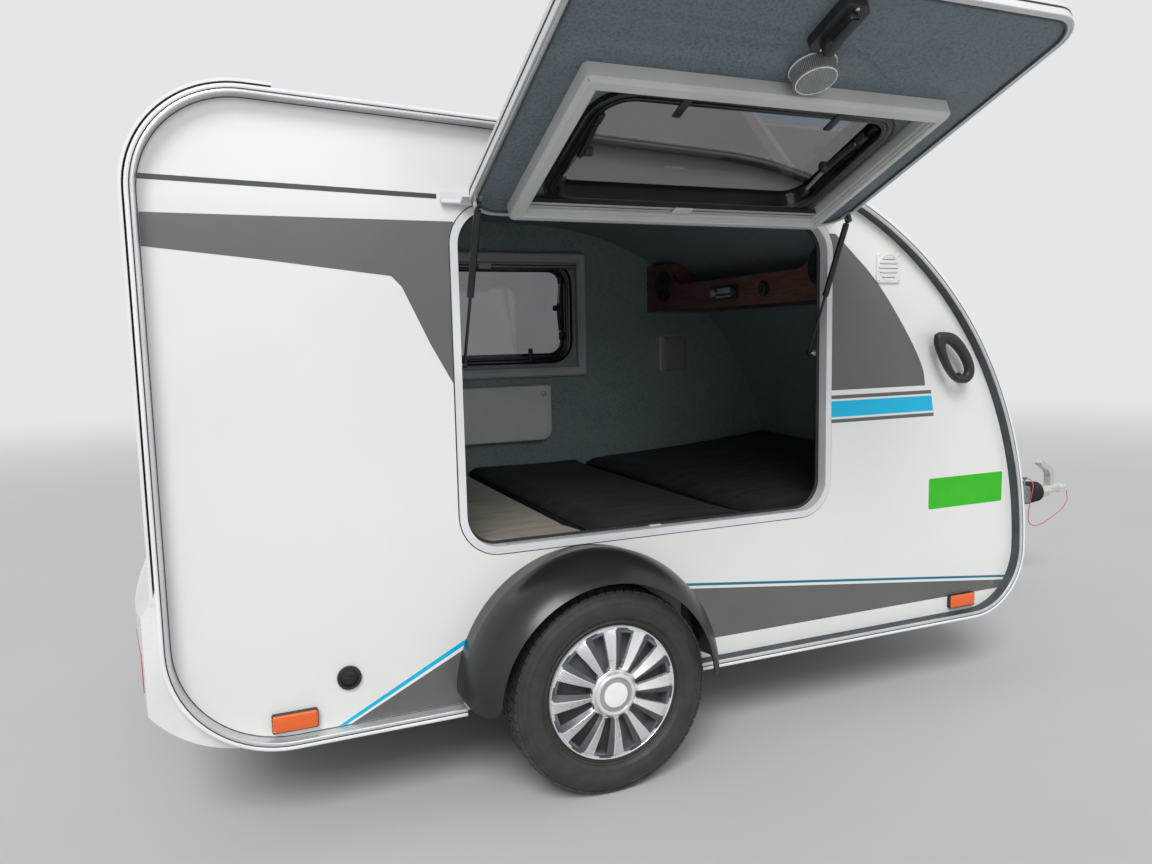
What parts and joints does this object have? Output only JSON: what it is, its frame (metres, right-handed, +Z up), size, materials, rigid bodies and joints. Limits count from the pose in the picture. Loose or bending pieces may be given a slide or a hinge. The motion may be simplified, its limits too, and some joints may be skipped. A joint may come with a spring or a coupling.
{
  "type": "teardrop trailer",
  "caption": "Small teardrop camping trailer on one axle, with a wing side door on gas struts, a rear kitchen hatch, a bed cabin, moulded fenders and a jockey wheel.",
  "frame": {"origin": "on the ground, midway between the contacts of the two road wheels", "axes": "+X forward to the tow ball, +Y to the trailer's left, +Z up"},
  "size_m": [4.016, 2.5359, 1.883],
  "materials": {
    "painted_steel": "satin black",
    "galvanised_steel": "galvanised",
    "rubber_black": "matt",
    "tyre_rubber": "matt",
    "white_panel": "gloss white sheet with grey and blue stripes outside, grey lining inside",
    "edge_trim": "anodised",
    "white_moulding": "moulded",
    "aluminium": "anodised",
    "black_plastic": "moulded satin",
    "white_plastic": "moulded",
    "amber_lens": "moulded lens",
    "red_lens": "moulded lens",
    "smoked_acrylic": "tinted acrylic",
    "blind_frame": "moulded beige",
    "lining_board": "grey laminate",
    "light_board": "light grey laminate",
    "walnut": "walnut veneer",
    "taupe_fabric": "woven",
    "anthracite_fabric": "velvet",
    "wheel_silver": "silver lacquer",
    "rim_steel": "black enamel",
    "cable_red": "sheathed wire",
    "frosted_lens": "ribbed lens"
  },
  "bodies": {
    "body": {"chassis_frame": "galvanised_steel", "drawbar_arms": "galvanised_steel", "axle_beam": "galvanised_steel", "overrun_housing": "painted_steel", "drawbar_gaiter": "rubber_black", "coupling_head": "galvanised_steel", "drawbar_levers": "galvanised_steel", "jockey_mast": "galvanised_steel", "floor_panel": "lining_board", "side_panel_right": "white_panel", "side_panel_left": "white_panel", "roof_shell": "white_panel", "rear_panel": "white_panel", "edge_trim_right": "edge_trim", "edge_trim_left": "edge_trim", "rear_bumper": "white_moulding", "tail_lamps": "red_lens", "side_markers": "amber_lens", "fenders": "black_plastic", "door_frame": "aluminium", "hatch_hinges": "aluminium", "left_window_frame": "black_plastic", "left_window_pane": "smoked_acrylic", "left_blind_frame": "blind_frame", "bulkhead": "lining_board", "galley_unit": "light_board", "mattress_rear": "taupe_fabric", "mattress_middle": "anthracite_fabric", "mattress_front": "anthracite_fabric", "front_shelf": "walnut", "shelf_fittings": "black_plastic", "wall_locker": "light_board", "wall_pad": "white_plastic", "side_vents": "white_plastic", "loop_handles": "black_plastic", "service_port": "black_plastic", "breakaway_cable": "cable_red"},
    "door": {"door_panel": "white_panel", "door_edge": "aluminium", "door_brackets": "painted_steel", "door_window_frame": "black_plastic", "door_window_pane": "smoked_acrylic", "door_blind_frame": "blind_frame", "door_lamp": "frosted_lens", "door_latch": "black_plastic"},
    "strut_tube_rear": {"strut_tube_rear": "painted_steel"},
    "strut_tube_front": {"strut_tube_front": "painted_steel"},
    "strut_rod_rear": {"strut_rod_rear": "painted_steel"},
    "strut_rod_front": {"strut_rod_front": "painted_steel"},
    "hatch": {"hatch_panel": "white_panel", "hatch_handle": "black_plastic"},
    "wheel_right": {"tyre_right": "tyre_rubber", "wheel_rim_right": "rim_steel", "wheel_cover_right": "wheel_silver"},
    "wheel_left": {"tyre_left": "tyre_rubber", "wheel_rim_left": "rim_steel", "wheel_cover_left": "wheel_silver"},
    "jockey_leg": {"jockey_leg": "galvanised_steel"},
    "jockey_fork": {"jockey_fork": "painted_steel"},
    "jockey_wheel": {"jockey_wheel": "rubber_black"}
  },
  "joints": [
    {"name": "door_hinge", "type": "hinge", "parent": "body", "child": "door", "pos_m": [0.2415, -0.752, 1.56], "axis": [1, 0, 0], "range_deg": [0, 112]},
    {"name": "strut_turn_rear", "type": "hinge", "parent": "door", "child": "strut_tube_rear", "pos_m": [-0.312, -0.8594, 1.53976], "axis": [1, 0, 0], "range_deg": [-135.27, 0.5]},
    {"name": "strut_slide_rear", "type": "slide", "parent": "strut_tube_rear", "child": "strut_rod_rear", "axis": [0, 0.4102, -0.912], "range_m": [-0.11007, 0.001]},
    {"name": "strut_turn_front", "type": "hinge", "parent": "door", "child": "strut_tube_front", "pos_m": [0.795, -0.8594, 1.53976], "axis": [1, 0, 0], "range_deg": [-135.27, 0.5]},
    {"name": "strut_slide_front", "type": "slide", "parent": "strut_tube_front", "child": "strut_rod_front", "axis": [0, 0.4102, -0.912], "range_m": [-0.11007, 0.001]},
    {"name": "hatch_hinge", "type": "hinge", "parent": "body", "child": "hatch", "pos_m": [-0.751, 0, 1.80563], "axis": [0, 1, 0], "range_deg": [0, 80]},
    {"name": "wheel_spin_right", "type": "hinge", "parent": "body", "child": "wheel_right", "pos_m": [0, -0.842, 0.28], "axis": [0, 1, 0], "continuous": true},
    {"name": "wheel_spin_left", "type": "hinge", "parent": "body", "child": "wheel_left", "pos_m": [0, 0.842, 0.28], "axis": [0, 1, 0], "continuous": true},
    {"name": "jockey_lift", "type": "slide", "parent": "body", "child": "jockey_leg", "axis": [0, 0, 1], "range_m": [0, 0.16]},
    {"name": "jockey_swivel", "type": "hinge", "parent": "jockey_leg", "child": "jockey_fork", "pos_m": [2.43, 0.084, 0.2], "axis": [0, 0, 1], "continuous": true},
    {"name": "jockey_spin", "type": "hinge", "parent": "jockey_fork", "child": "jockey_wheel", "pos_m": [2.392, 0.084, 0.1], "axis": [0, 1, 0], "continuous": true}
  ],
  "couplings": [
    {"joint": "strut_turn_rear", "follows": "door_hinge", "ratio": -1.2033},
    {"joint": "strut_slide_rear", "follows": "door_hinge", "m_per_rad": -0.055799},
    {"joint": "strut_turn_front", "follows": "door_hinge", "ratio": -1.2033},
    {"joint": "strut_slide_front", "follows": "door_hinge", "m_per_rad": -0.055799}
  ]
}
